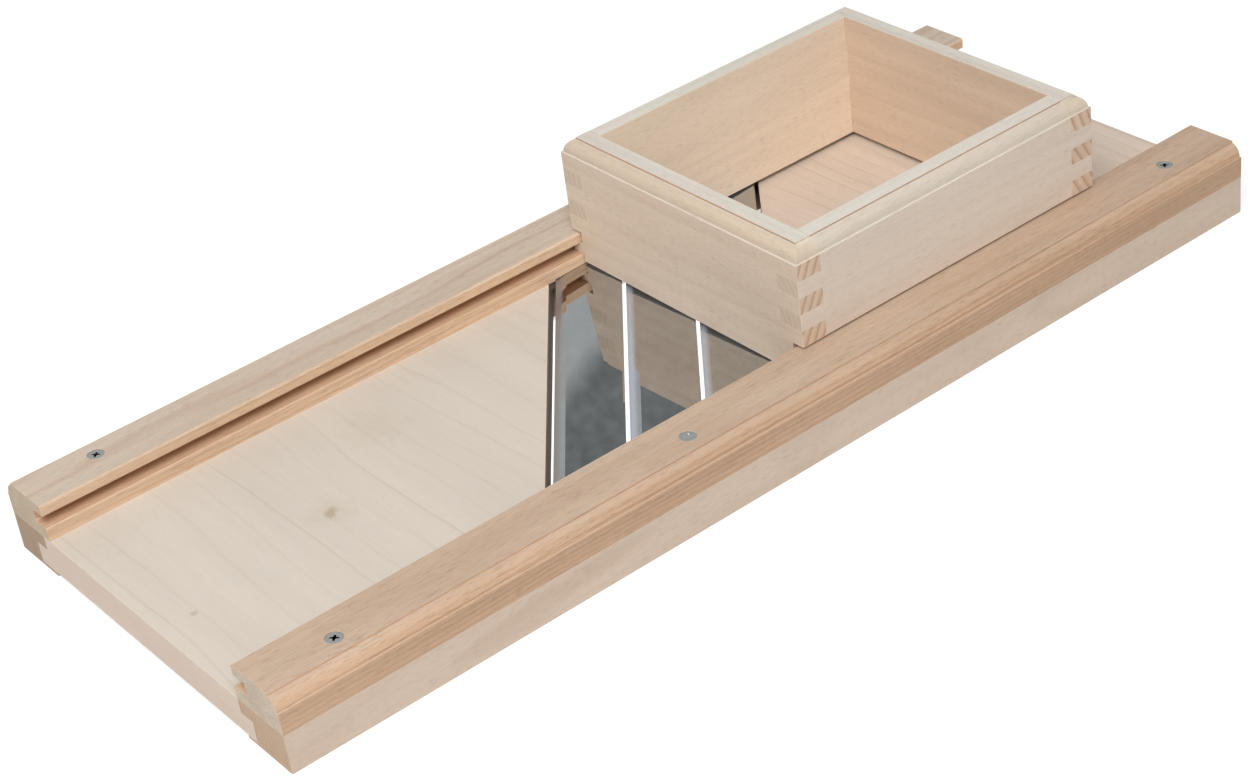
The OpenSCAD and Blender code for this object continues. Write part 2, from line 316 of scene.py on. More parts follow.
def make_beech_group():
    """Solid beech: rings round a far pith, late wood lines, flecks and fibres.

    The vector has the grain along X, with the pith on the X axis.
    """
    tree, given, out = new_group(
        "beech figure",
        [
            ("Vector", VECTOR, None),
            ("Wood", COLOUR, (0.6, 0.5, 0.4, 1.0)),
            ("Line", COLOUR, (0.4, 0.3, 0.2, 1.0)),
            ("Fleck", COLOUR, (0.3, 0.2, 0.1, 1.0)),
            ("Ring Width", NUMBER, 0.003),
            ("Ring Wander", NUMBER, 0.5),
            ("Ring Depth", NUMBER, 0.4),
            ("Line Width", NUMBER, 0.3),
            ("Fleck Depth", NUMBER, 0.35),
            ("End Grain", NUMBER, 0.0),
            ("End Depth", NUMBER, 0.6),
            ("Tint", NUMBER, 0.5),
        ],
        [("Color", COLOUR), ("Roughness", NUMBER), ("Height", NUMBER)],
    )
    place = given["Vector"]
    # slow wander of the rings along and across the plank
    wander = stretched_noise(tree, place, (5.0, 20.0, 20.0), 1.0, 0.4)
    ripple = stretched_noise(tree, place, (24.0, 80.0, 80.0), 1.0, 0.5)
    parts = axes(tree, place)
    across = times(tree, parts[1], parts[1])
    square = fused(tree, parts[2], parts[2], across)
    radius = sums(tree, "SQRT", square)
    rings = sums(tree, "DIVIDE", radius, given["Ring Width"])
    shift = times(tree, centred(tree, wander), 7.0)
    shift = fused(tree, centred(tree, ripple), 0.8, shift)
    count = fused(tree, shift, given["Ring Wander"], rings)
    part = sums(tree, "FRACT", count)
    # each ring darkens slowly towards its late wood, then stops short
    rise = sums(tree, "DIVIDE", inverse(tree, part), given["Line Width"])
    rise = sums(tree, "SUBTRACT", 1.0, rise, clamp=True)
    rise = sums(tree, "POWER", rise, 1.4)
    stop = sums(tree, "DIVIDE", part, times(tree, given["Line Width"], 0.35))
    stop = sums(tree, "SUBTRACT", 1.0, stop, clamp=True)
    late = sums(tree, "MAXIMUM", rise, stop)
    # every ring has its own strength; end grain evens it out
    own = put(tree, "ShaderNodeTexWhiteNoise", noise_dimensions="1D")
    join(tree, sums(tree, "FLOOR", sums(tree, "ADD", count, 0.12)), own.inputs["W"])
    strengths = [(0.0, 0.25), (0.5, 0.5), (0.8, 0.85), (1.0, 1.0)]
    strength = ramp(tree, own.outputs["Value"], strengths)
    fade = stretched_noise(tree, place, (8.0, 60.0, 60.0), 1.0, 0.5)
    fade = ramp(tree, fade, [(0.3, 0.35), (0.65, 1.0)])
    strength = times(tree, strength, fade)
    even = times(tree, given["End Grain"], 0.65)
    strength = sums(tree, "MAXIMUM", strength, even)
    line = times(tree, late, strength)
    more = sums(tree, "SUBTRACT", given["End Depth"], given["Ring Depth"])
    depth = fused(tree, given["End Grain"], more, given["Ring Depth"])
    line = times(tree, line, depth, clamp=True)
    # broad soft changes of shade, along the grain
    cloud = stretched_noise(tree, place, (7.0, 45.0, 45.0), 2.0, 0.55)
    band = stretched_noise(tree, place, (2.5, 260.0, 260.0), 1.0, 0.5)
    shade = fused(tree, centred(tree, cloud), 0.16, 1.0)
    band = times(tree, centred(tree, band), given["Tint"])
    shade = fused(tree, band, 0.30, shade)
    # flecks: many short dashes, dots on the end grain
    dashes = stretched_noise(tree, place, (190.0, 2500.0, 2500.0), 1.0, 0.4)
    dashes = ramp(tree, dashes, [(0.54, 0.0), (0.68, 1.0)])
    streaks = stretched_noise(tree, place, (70.0, 1400.0, 1400.0), 2.0, 0.5)
    streaks = ramp(tree, streaks, [(0.56, 0.0), (0.74, 1.0)])
    patchy = stretched_noise(tree, place, (25.0, 120.0, 120.0), 1.0, 0.5)
    patchy = ramp(tree, patchy, [(0.35, 0.65), (0.65, 1.0)])
    flecks = sums(tree, "MAXIMUM", dashes, times(tree, streaks, 0.6))
    flecks = times(tree, flecks, patchy)
    flecks = times(tree, flecks, given["Fleck Depth"], clamp=True)
    fibres = stretched_noise(tree, place, (40.0, 3600.0, 3600.0), 2.0, 0.6)
    shade = fused(tree, centred(tree, fibres), 0.10, shade)
    # warmer and paler patches
    warm = stretched_noise(tree, place, (11.0, 70.0, 70.0), 1.0, 0.5)
    warm = times(tree, ramp(tree, warm, [(0.35, 0.0), (0.7, 1.0)]), given["Tint"])
    wood = blend_colours(tree, times(tree, warm, 0.22), given["Wood"], given["Line"])
    wood = blend_colours(tree, line, wood, given["Line"])
    wood = blend_colours(tree, flecks, wood, given["Fleck"])
    join(tree, vector_sum(tree, "SCALE", wood, shade, "Vector"), out["Color"])
    rough = fused(tree, fibres, 0.16, 0.46)
    rough = fused(tree, flecks, 0.12, rough)
    rough = fused(tree, given["End Grain"], 0.16, rough, clamp=True)
    join(tree, rough, out["Roughness"])
    height = fused(tree, flecks, -0.7, times(tree, fibres, 0.5))
    height = fused(tree, line, 0.25, height)
    join(tree, height, out["Height"])
    return tree


def make_wear_and_sheen_group():
    """Edge wear and sheen: a mask that is 1 on rounded edges and 0 on flat faces; materials use it
    for wear and for a painted highlight.
    """
    tree, given, out = new_group(
        "edge wear",
        [("Vector", VECTOR, None), ("Width", NUMBER, 0.0012), ("Patchiness", NUMBER, 0.5)],
        [("Mask", NUMBER)],
    )
    rounded = put(tree, "ShaderNodeBevel", samples=6)
    join(tree, given["Width"], rounded.inputs["Radius"])
    plain = put(tree, "ShaderNodeNewGeometry")
    match = vector_sum(tree, "DOT_PRODUCT", rounded.outputs[0], plain.outputs["Normal"])
    edge = ramp(tree, inverse(tree, match), [(0.01, 0.0), (0.22, 1.0)])
    patches = stretched_noise(tree, given["Vector"], (240.0, 240.0, 240.0), 3.0, 0.6)
    patches = ramp(tree, patches, [(0.35, 0.0), (0.65, 1.0)])
    kept = times(tree, patches, given["Patchiness"])
    kept = sums(tree, "ADD", kept, inverse(tree, given["Patchiness"]), clamp=True)
    join(tree, times(tree, edge, kept, clamp=True), out["Mask"])
    return tree


def make_handling_group():
    """Handling marks: faint dust, rubbed patches and tiny specks."""
    tree, given, out = new_group(
        "handling marks",
        [("Vector", VECTOR, None), ("Size", NUMBER, 30.0)],
        [("Rub", NUMBER), ("Speck", NUMBER)],
    )
    spread = vector_sum(tree, "SCALE", given["Vector"], given["Size"], "Vector")
    cloudy = {"Scale": 1.0, "Detail": 4.0, "Roughness": 0.6, "Distortion": 0.4}
    rub = noise(tree, spread, cloudy)
    join(tree, ramp(tree, rub, [(0.3, 0.0), (0.7, 1.0)]), out["Rub"])
    dots = put(tree, "ShaderNodeTexVoronoi", {"Scale": 8.0, "Randomness": 1.0})
    join(tree, spread, dots.inputs["Vector"])
    join(tree, ramp(tree, dots.outputs["Distance"], [(0.03, 1.0), (0.07, 0.0)]), out["Speck"])
    return tree


def make_polish_group():
    """Steel polishing: fine lines along X of the vector, soft haze and ripple."""
    tree, given, out = new_group(
        "steel polish",
        [("Vector", VECTOR, None), ("Line Spacing", NUMBER, 4200.0)],
        [("Lines", NUMBER), ("Haze", NUMBER), ("Ripple", NUMBER)],
    )
    along = axes(tree, given["Vector"])
    packed = put(tree, "ShaderNodeCombineXYZ")
    join(tree, times(tree, along[0], 14.0), packed.inputs[0])
    join(tree, times(tree, along[1], given["Line Spacing"]), packed.inputs[1])
    join(tree, times(tree, along[2], given["Line Spacing"]), packed.inputs[2])
    lines = noise(tree, packed.outputs[0], {"Scale": 1.0, "Detail": 2.0, "Roughness": 0.6})
    join(tree, lines, out["Lines"])
    haze = stretched_noise(tree, given["Vector"], (60.0, 110.0, 110.0), 3.0, 0.55)
    join(tree, ramp(tree, haze, [(0.35, 0.0), (0.68, 1.0)]), out["Haze"])
    ripple = stretched_noise(tree, given["Vector"], (16.0, 45.0, 45.0), 1.0, 0.4)
    join(tree, ripple, out["Ripple"])
    return tree


GROUPS = {}


def shared(name):
    """The node group of that name, made on first use."""
    makers = {
        "beech": make_beech_group,
        "wear_and_sheen": make_wear_and_sheen_group,
        "handling": make_handling_group,
        "polish": make_polish_group,
        "ease": make_ease_group,
        "smooth": make_smooth_group,
    }
    if name not in GROUPS:
        GROUPS[name] = makers[name]()
    return GROUPS[name]


# ------------------------------------------------------------------ materials


def new_material(name):
    material = bpy.data.materials.new(name)
    material.use_nodes = True
    tree = material.node_tree
    tree.nodes.clear()
    shader = put(tree, "ShaderNodeBsdfPrincipled")
    output = put(tree, "ShaderNodeOutputMaterial")
    join(tree, shader.outputs[0], output.inputs[0])
    return material, tree, shader


def bump(tree, height, shader, strength, distance):
    made = put(tree, "ShaderNodeBump", {"Strength": strength, "Distance": distance})
    join(tree, height, made.inputs["Height"])
    join(tree, made.outputs[0], shader.inputs["Normal"])


def handled(tree, spot, size, width, patchiness=0.5):
    """The edge wear and painted edge highlight, and the handling marks of one material."""
    wear_and_sheen = use_group(tree, shared("wear_and_sheen"), Vector=spot, Width=width, Patchiness=patchiness)
    marks = use_group(tree, shared("handling"), Vector=spot, Size=size)
    return wear_and_sheen["Mask"], marks


def beech(name, top, side, end, line, pith, ring, wander, ring_depth, line_width, end_depth,
          slide, tint, grain="X", fleck_depth=None, edge=0.4, knots=(), crown=None, groove=None):
    """A beech plank with the grain along X or Y.

    top, side and end are the colours of its flat, upright and end-grain
    faces.  pith is the place of the pith across the grain: (y, z) for grain
    along X, (x, z) for grain along Y.  slide shifts the figure along the grain.
    crown is (height, colour, outward, quirk height): the moulding above that
    height has its own colour and no end grain, and its small upright step above
    the quirk height gets painted shade.  groove is (low, high, colour)
    of painted bounce light inside a groove along X.  knots are (centre, size,
    strength, colour).
    """
    look = bpy.context.scene.beech
    material, tree, shader = new_material(name)
    place = put(tree, "ShaderNodeTexCoord")
    turned = put(tree, "ShaderNodeMapping", vector_type="POINT")
    if grain == "Y":
        turned.inputs["Rotation"].default_value = (0.0, 0.0, -math.pi / 2)
        turned.inputs["Location"].default_value = (slide, pith[0], -pith[1])
    else:
        turned.inputs["Location"].default_value = (slide, -pith[0], -pith[1])
    join(tree, place.outputs["Object"], turned.inputs[0])
    facing = axes(tree, place.outputs["Normal"])
    along, across = (0, 1) if grain == "X" else (1, 0)
    on_end = sums(tree, "ABSOLUTE", facing[along])
    on_end = ramp(tree, on_end, [(0.55, 0.0), (0.9, 1.0)])
    on_side = sums(tree, "ABSOLUTE", facing[across])
    on_side = ramp(tree, on_side, [(0.35, 0.0), (0.95, 1.0)])
    spot = axes(tree, place.outputs["Object"])
    if crown:
        height, crown_colour, outward, quirk_height = crown
        above = sums(tree, "GREATER_THAN", spot[2], height)
        on_end = times(tree, on_end, inverse(tree, above))
    wood = blend_colours(tree, on_side, top, side)
    wood = blend_colours(tree, on_end, wood, end)
    if crown:
        out_of = vector_sum(tree, "DOT_PRODUCT", place.outputs["Normal"], outward)
        flat = ramp(tree, facing[2], [(0.90, 0.0), (0.97, 1.0)])
        moulded = times(tree, above, inverse(tree, flat))
        wood = blend_colours(tree, moulded, wood, crown_colour)
        inner = sums(tree, "LESS_THAN", out_of, -0.7)
        wood = blend_colours(tree, times(tree, above, inner), wood, side)
        # painted shade: the small upright step under the rim gets the dark quirk colour
        quirk = sums(tree, "GREATER_THAN", out_of, 0.8)
        quirk = times(tree, quirk, sums(tree, "GREATER_THAN", spot[2], quirk_height))
        wood = blend_colours(tree, quirk, wood, look.quirk_shade)
    # painted bounce light: the grooves get a warm colour that stands in for light bounced between
    # their walls
    if groove:
        low, high, groove_colour = groove
        half = (high - low) / 2 + GROOVE_MARGIN
        inside = sums(tree, "COMPARE", spot[2], (low + high) / 2, half)
        inner = sums(tree, "LESS_THAN", sums(tree, "ABSOLUTE", spot[1]), GROOVE_REACH)
        inside = times(tree, times(tree, inside, inner), inverse(tree, on_end))
        wood = blend_colours(tree, inside, wood, groove_colour)
    figure = use_group(
        tree, shared("beech"), Vector=turned.outputs[0], Wood=wood, Line=line,
        Fleck=look.fleck, Ring_Width=ring, Ring_Wander=wander,
        Ring_Depth=ring_depth, End_Depth=end_depth, End_Grain=on_end, Tint=tint,
        Line_Width=line_width,
        Fleck_Depth=look.fleck_depth if fleck_depth is None else fleck_depth,
    )
    wear_and_sheen, marks = handled(tree, place.outputs["Object"], 26.0, 0.9 * MM)
    colour_now = figure["Color"]
    for centre, size, strength, shade in knots:
        spot = small_knot(tree, place.outputs["Object"], centre, size)
        spot = times(tree, spot, strength, clamp=True)
        colour_now = blend_colours(tree, spot, colour_now, shade)
    # painted highlight: eased edges are lifted towards a paler colour, partly wear and partly the
    # light that the edges catch
    pale = tuple(min(0.92, c * 1.14 + 0.03) for c in side)
    colour_now = blend_colours(tree, times(tree, wear_and_sheen, edge), colour_now, pale)
    dull = tuple(c * 0.93 for c in side)
    colour_now = blend_colours(tree, times(tree, marks["Rub"], 0.10), colour_now, dull)
    colour_now = blend_colours(tree, times(tree, marks["Speck"], 0.18), colour_now, line)
    join(tree, colour_now, shader.inputs["Base Color"])
    rough = fused(tree, marks["Rub"], -0.08, figure["Roughness"])
    rough = fused(tree, wear_and_sheen, -0.06, rough, clamp=True)
    join(tree, rough, shader.inputs["Roughness"])
    shader.inputs["IOR"].default_value = 1.45
    shader.inputs["Specular IOR Level"].default_value = 0.35
    bump(tree, figure["Height"], shader, 0.35, 0.00012)
    return material


def small_knot(tree, vector, centre, size):
    """A soft round spot at centre, size metres across, a little ragged."""
    away = vector_sum(tree, "DISTANCE", vector, centre)
    ragged = stretched_noise(tree, vector, (320.0, 210.0, 300.0), 2.0, 0.6)
    far = sums(tree, "DIVIDE", away, size)
    far = fused(tree, centred(tree, ragged), 0.7, far)
    return ramp(tree, far, [(0.12, 1.0), (0.32, 0.55), (0.55, 0.0)])


def steel_blade(name, ground, across, first, pitch):
    """Polished steel with fine lines along the blade and ground facets.

    ground is the colour of the facets: satin ground steel with a painted
    reflection of what they face.  They lie at the low edges, the first
    at first and the others a pitch apart, measured along across.
    """
    look = bpy.context.scene.steel
    base = tuple(look.blade)
    material, tree, shader = new_material(name)
    place = put(tree, "ShaderNodeTexCoord")
    turned = put(tree, "ShaderNodeMapping", vector_type="POINT")
    turned.inputs["Rotation"].default_value = (0.0, 0.0, BLADE_RUN - math.pi / 2)
    join(tree, place.outputs["Object"], turned.inputs[0])
    finish = use_group(tree, shared("polish"), Vector=turned.outputs[0])
    wear_and_sheen, marks = handled(tree, place.outputs["Object"], 45.0, 0.3 * MM, 0.3)
    dark = tuple(c * 0.86 for c in base)
    bright = tuple(min(1.0, c * 1.25) for c in base)
    tone = times(tree, finish["Haze"], 0.55)
    tone = fused(tree, finish["Lines"], 0.3, tone, clamp=True)
    colour_now = blend_colours(tree, tone, base, dark)
    run = vector_sum(tree, "DOT_PRODUCT", place.outputs["Object"], across)
    spot = sums(tree, "SUBTRACT", run, first - FACET_MARGIN)
    spot = sums(tree, "FRACT", sums(tree, "DIVIDE", spot, pitch))
    spot = times(tree, spot, pitch / look.facet)
    # painted reflection: the facets take a colour that stands for what they reflect, on satin ground
    # steel
    facet = ramp(tree, spot, [(0.0, 1.0), (0.40, 0.85), (0.68, 0.35), (0.82, 0.0)])
    colour_now = blend_colours(tree, facet, colour_now, ground)
    # painted highlight: eased edges are lifted towards brighter steel
    colour_now = blend_colours(tree, times(tree, wear_and_sheen, 0.5), colour_now, bright)
    join(tree, colour_now, shader.inputs["Base Color"])
    join(tree, fused(tree, facet, -0.6, 1.0), shader.inputs["Metallic"])
    rough = fused(tree, finish["Lines"], 0.008, look.blade_roughness)
    rough = fused(tree, facet, 0.25, rough)
    rough = fused(tree, finish["Haze"], 0.007, rough)
    rough = fused(tree, marks["Rub"], 0.008, rough)
    rough = fused(tree, marks["Speck"], 0.1, rough, clamp=True)
    join(tree, rough, shader.inputs["Roughness"])
    height = fused(tree, finish["Ripple"], 1.0, times(tree, finish["Lines"], 0.03))
    bump(tree, height, shader, 0.2, 0.0001)
    return material


def zinc_plate(name, base, roughness):
    """Dull zinc plate, brighter on worn edges, partly as a painted highlight."""
    material, tree, shader = new_material(name)
    spot = put(tree, "ShaderNodeTexCoord").outputs["Object"]
    grain = stretched_noise(tree, spot, (900.0, 900.0, 900.0), 3.0, 0.6)
    wear_and_sheen, marks = handled(tree, spot, 160.0, 0.3 * MM, 0.4)
    dull = tuple(c * 0.78 for c in base)
    bright = tuple(min(1.0, c * 1.3) for c in base)
    tone = fused(tree, marks["Rub"], 0.5, times(tree, grain, 0.4), clamp=True)
    colour_now = blend_colours(tree, tone, base, dull)
    # worn edges are lifted towards brighter zinc, partly as a painted highlight
    colour_now = blend_colours(tree, wear_and_sheen, colour_now, bright)
    join(tree, colour_now, shader.inputs["Base Color"])
    rough = fused(tree, grain, 0.16, roughness - 0.06)
    rough = fused(tree, marks["Rub"], 0.1, rough, clamp=True)
    join(tree, rough, shader.inputs["Roughness"])
    shader.inputs["Metallic"].default_value = 0.55
    bump(tree, grain, shader, 0.25, 0.00008)
    return material


# ------------------------------------------------------------------ eased edges


def make_ease_group():
    """Geometry nodes that say how far the bevel eases each edge.

    Edges in the seam plane, short edges and, where Along X is 1, edges along
    the board only get the seam's share.  Upright edges outside the core are
    always eased, and the mitre edges above the crown height never are.
    """
    tree, given, out = new_group(
        "ease edges",
        [
            ("Geometry", GEOMETRY, None),
            ("Seam Height", NUMBER, -1.0),
            ("Short", NUMBER, 0.002),
            ("Seam Share", NUMBER, 0.2),
            ("Along X", NUMBER, 0.0),
            ("Crown Height", NUMBER, 10.0),
            ("Core Low", VECTOR, None),
            ("Core High", VECTOR, None),
        ],
        [("Geometry", GEOMETRY)],
        "GeometryNodeTree",
    )
    ends = put(tree, "GeometryNodeInputMeshEdgeVertices").outputs
    first = axes(tree, ends["Position 1"])
    second = axes(tree, ends["Position 2"])
    run = vector_sum(tree, "DISTANCE", ends["Position 1"], ends["Position 2"])

    def close(a, b, limit=0.00006):
        apart = sums(tree, "ABSOLUTE", sums(tree, "SUBTRACT", a, b))
        return sums(tree, "LESS_THAN", apart, limit)

    seam_height = given["Seam Height"]
    in_plane = times(tree, close(first[2], seam_height), close(second[2], seam_height))
    short = sums(tree, "LESS_THAN", run, given["Short"])
    same_y = close(first[1], second[1])
    along = times(tree, same_y, given["Along X"])
    # upright edges at the outer corners of the box
    outside = times(tree, close(first[0], second[0]), same_y)
    low = axes(tree, given["Core Low"])
    high = axes(tree, given["Core High"])
    for axis in (0, 1):
        below = sums(tree, "LESS_THAN", first[axis], low[axis])
        above = sums(tree, "GREATER_THAN", first[axis], high[axis])
        outside = times(tree, outside, sums(tree, "MAXIMUM", below, above))
    seam = sums(tree, "MAXIMUM", sums(tree, "MAXIMUM", in_plane, along), short)
    seam = times(tree, seam, inverse(tree, outside))
    less = sums(tree, "SUBTRACT", given["Seam Share"], 1.0)
    weight = fused(tree, seam, less, 1.0)
    angle = put(tree, "GeometryNodeInputMeshEdgeAngle")
    sharp = sums(tree, "GREATER_THAN", angle.outputs[0], math.radians(28))
    weight = times(tree, weight, sharp)
    # the mitre of the moulding stays as it is: its edges are too short to ease
    lower = sums(tree, "MINIMUM", first[2], second[2])
    above = sums(tree, "GREATER_THAN", lower, given["Crown Height"])
    level = close(first[2], second[2], 0.00003)
    mitre = times(tree, above, inverse(tree, level))
    weight = times(tree, weight, inverse(tree, mitre))
    store = put(tree, "GeometryNodeStoreNamedAttribute", domain="EDGE", data_type="FLOAT")
    store.inputs["Name"].default_value = "bevel_weight_edge"
    join(tree, given["Geometry"], store.inputs["Geometry"])
    join(tree, weight, store.inputs["Value"])
    join(tree, store.outputs[0], out["Geometry"])
    return tree


def make_smooth_group():
    """Geometry nodes that shade smooth, with sharp edges above an angle."""
    tree, given, out = new_group(
        "smooth by angle",
        [("Geometry", GEOMETRY, None), ("Angle", NUMBER, math.radians(40))],
        [("Geometry", GEOMETRY)],
        "GeometryNodeTree",
    )
    angle = put(tree, "GeometryNodeInputMeshEdgeAngle")
    flat = sums(tree, "LESS_THAN", angle.outputs[0], given["Angle"])
    edges = put(tree, "GeometryNodeSetShadeSmooth", domain="EDGE")
    join(tree, given["Geometry"], edges.inputs["Geometry"])
    join(tree, flat, edges.inputs["Shade Smooth"])
    faces = put(tree, "GeometryNodeSetShadeSmooth", domain="FACE")
    join(tree, edges.outputs[0], faces.inputs["Geometry"])
    join(tree, faces.outputs[0], out["Geometry"])
    return tree


def nodes_modifier(piece, group, **values):
    made = piece.modifiers.new(group.name, "NODES")
    made.node_group = group
    for item in group.interface.items_tree:
        key = item.name.replace(" ", "_")
        if item.item_type == "SOCKET" and item.in_out == "INPUT" and key in values:
            made[item.identifier] = values[key]


def join_triangles(piece, angle):
    """Welds a CAD node's loose triangles into flat faces, as modifiers."""
    weld = piece.modifiers.new("weld", "WELD")
    weld.merge_threshold = 2e-6
    plane = piece.modifiers.new("flat faces", "DECIMATE")
    plane.decimate_type = "DISSOLVE"
    plane.angle_limit = angle


def round_edges(piece, width, method):
    made = piece.modifiers.new("bevel", "BEVEL")
    made.limit_method = method
    made.width = width
    made.segments = 2
    made.profile = 0.5
    made.use_clamp_overlap = True
    made.miter_outer = "MITER_SHARP"
    return made


def ease(node, **rules):
    """Joins a wooden CAD node's triangles and eases its edges, as modifiers."""
    look = bpy.context.scene.beech
    piece = NODES[node]
    join_triangles(piece, math.radians(0.6))
    if look.edge_ease > 0:
        nodes_modifier(piece, shared("ease"), Seam_Share=look.seam_ease, **rules)
        round_edges(piece, look.edge_ease, "WEIGHT")
    nodes_modifier(piece, shared("smooth"), Angle=math.radians(32))
    weighted = piece.modifiers.new("weighted normals", "WEIGHTED_NORMAL")
    weighted.mode = "FACE_AREA"
    weighted.keep_sharp = True


def cover(node, material):
    """Gives every material slot of a CAD node the new material."""
    for place in NODES[node].material_slots:
        place.material = material


def plank(node, **figure):
    """Covers a CAD node with beech of its own."""
    cover(node, beech(node.replace("_", " ") + " beech", **figure))


# ------------------------------------------------------------------ screws


def spun_screw(mesh, centre, top, depth, head, shank, recess):
    """One countersunk screw with a tapered cross recess, built into mesh."""
    made = bmesh.new()
    sink = (head - shank) / 2
    rim = 0.10 * MM
    crown = 0.12 * MM
    radius = head / 2
    outline = [
        (0.0, -depth),
        (shank * 0.1, -depth),
        (shank / 2, -depth + 2.5 * MM),
        (shank / 2, -sink - 3 * rim),
        (radius - rim, -2.6 * rim),
        (radius, -1.8 * rim),
        (radius, -crown),
        (radius - crown, -crown * 0.25),
        (radius - 0.45 * MM, 0.0),
    ]
    spine = [made.verts.new((r, 0.0, z)) for r, z in outline]
    edges = [made.edges.new(pair) for pair in zip(spine, spine[1:])]
    bmesh.ops.spin(
        made, geom=spine + edges, cent=(0, 0, 0), axis=(0, 0, 1), dvec=(0, 0, 0),
        angle=2 * math.pi, steps=SCREW_STEPS, use_merge=True, use_duplicate=False,
    )
    bmesh.ops.remove_doubles(made, verts=made.verts, dist=1e-7)
    rim_edges = [e for e in made.edges if e.is_boundary]
    # cross outline of the recess, in the top face
    half, arm, fillet = recess / 2, recess * 0.13, recess * 0.09
    quarter = [
        (half, -arm * 0.55), (half, arm * 0.55), (half - fillet, arm),
        (arm + fillet, arm), (arm, arm + fillet), (arm, half - fillet),
    ]
    ring = []
    for cosine, sine in ((1, 0), (0, 1), (-1, 0), (0, -1)):
        for x, y in quarter:
            place = (x * cosine - y * sine, x * sine + y * cosine, 0.0)
            ring.append(made.verts.new(place))
    cross = [made.edges.new((a, b)) for a, b in zip(ring, ring[1:] + ring[:1])]
    bmesh.ops.triangle_fill(
        made, use_beauty=True, use_dissolve=False, edges=rim_edges + cross,
    )
    inside = []
    for f in made.faces:
        middle = f.calc_center_median()
        near, far = sorted((abs(middle.x), abs(middle.y)))
        if near < arm and far < half and all(v in ring for v in f.verts):
            inside.append(f)
    bmesh.ops.delete(made, geom=inside, context="FACES_ONLY")
    # the recess goes down in three steps, each narrower than the last
    floor = cross
    for drop, shrink in ((0.18 * MM, 0.92), (0.32 * MM, 0.78), (0.12 * MM, 0.5)):
        grown = bmesh.ops.extrude_edge_only(made, edges=floor)["geom"]
        verts = [g for g in grown if isinstance(g, bmesh.types.BMVert)]
        edges = [g for g in grown if isinstance(g, bmesh.types.BMEdge)]
        floor = [e for e in edges if all(v in verts for v in e.verts)]
        bmesh.ops.translate(made, verts=verts, vec=(0, 0, -drop))
        bmesh.ops.scale(made, verts=verts, vec=(shrink, shrink, 1.0))
    bmesh.ops.contextual_create(made, geom=floor)
    bmesh.ops.recalc_face_normals(made, faces=made.faces)
    quarter_turned = Matrix.Rotation(math.radians(45), 3, "Z")
    bmesh.ops.rotate(made, verts=made.verts, cent=(0, 0, 0), matrix=quarter_turned)
    bmesh.ops.translate(made, verts=made.verts, vec=(centre[0], centre[1], top))
    for f in made.faces:
        f.smooth = True
    made.to_mesh(mesh)
    made.free()


def screw_places():
    """Centres of the six screws, read from the CAD node's own mesh."""
    screws = []
    for vertex in NODES["rail_screws"].data.vertices:
        point = vertex.co.xy
        for screw in screws:
            if (screw[0] - point).length < SCREW_APART:
                screw.append(point)
                break
        else:
            screws.append([point])
    centres = []
    for screw in screws:
        along = [point.x for point in screw]
        across = [point.y for point in screw]
        centres.append(((min(along) + max(along)) / 2, (min(across) + max(across)) / 2))
    return sorted(centres)


# ------------------------------------------------------------------ operators


class SLICER_OT_rails(bpy.types.Operator):
    """Beech and eased edges for the base rails and the guide rails"""

    bl_idname = "slicer.rails"
    bl_label = "Finish Rails"

    def execute(self, context):
        look = context.scene.beech
        guide = {
            "line": look.cap_line,
            "end_depth": 0.14,
            "groove": (look.groove_low, look.groove_high, look.groove),
        }
        base = {
            "top": look.base,
            "side": look.base,
            "line": look.base_line,
            "wander": 0.7,
            "ring_depth": 0.25,
            "line_width": 0.4,
            "end_depth": 0.4,
            "fleck_depth": 0.24,
            "tint": 0.4,
        }
        plank(
            "near_guide_rail", **guide, top=look.near_cap, side=look.near_side,
            end=(0.78, 0.67, 0.54), pith=(-0.088, -0.09), ring=0.0024, wander=0.5,
            ring_depth=0.70, line_width=0.55, fleck_depth=0.42, slide=0.4, tint=0.8,
        )
        plank(
            "far_guide_rail", **guide, top=look.far_cap, side=look.far_side,
            end=(0.72, 0.60, 0.445), pith=(0.06, -0.075), ring=0.0026, wander=0.6,
            ring_depth=0.42, line_width=0.4, fleck_depth=0.36, slide=1.3, tint=0.6,
        )
        plank(
            "near_base_rail", **base, end=(0.69, 0.50, 0.345), pith=(0.03, 0.004),
            ring=0.0030, slide=2.2,
        )
        plank(
            "far_base_rail", **base, end=(0.53, 0.39, 0.28), pith=(-0.03, 0.006),
            ring=0.0028, slide=3.1,
        )
        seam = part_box("near_base_rail")[1].z
        for name in ("near_guide_rail", "far_guide_rail", "near_base_rail", "far_base_rail"):
            ease(name, Seam_Height=seam, Short=2.0 * MM)
        return {"FINISHED"}


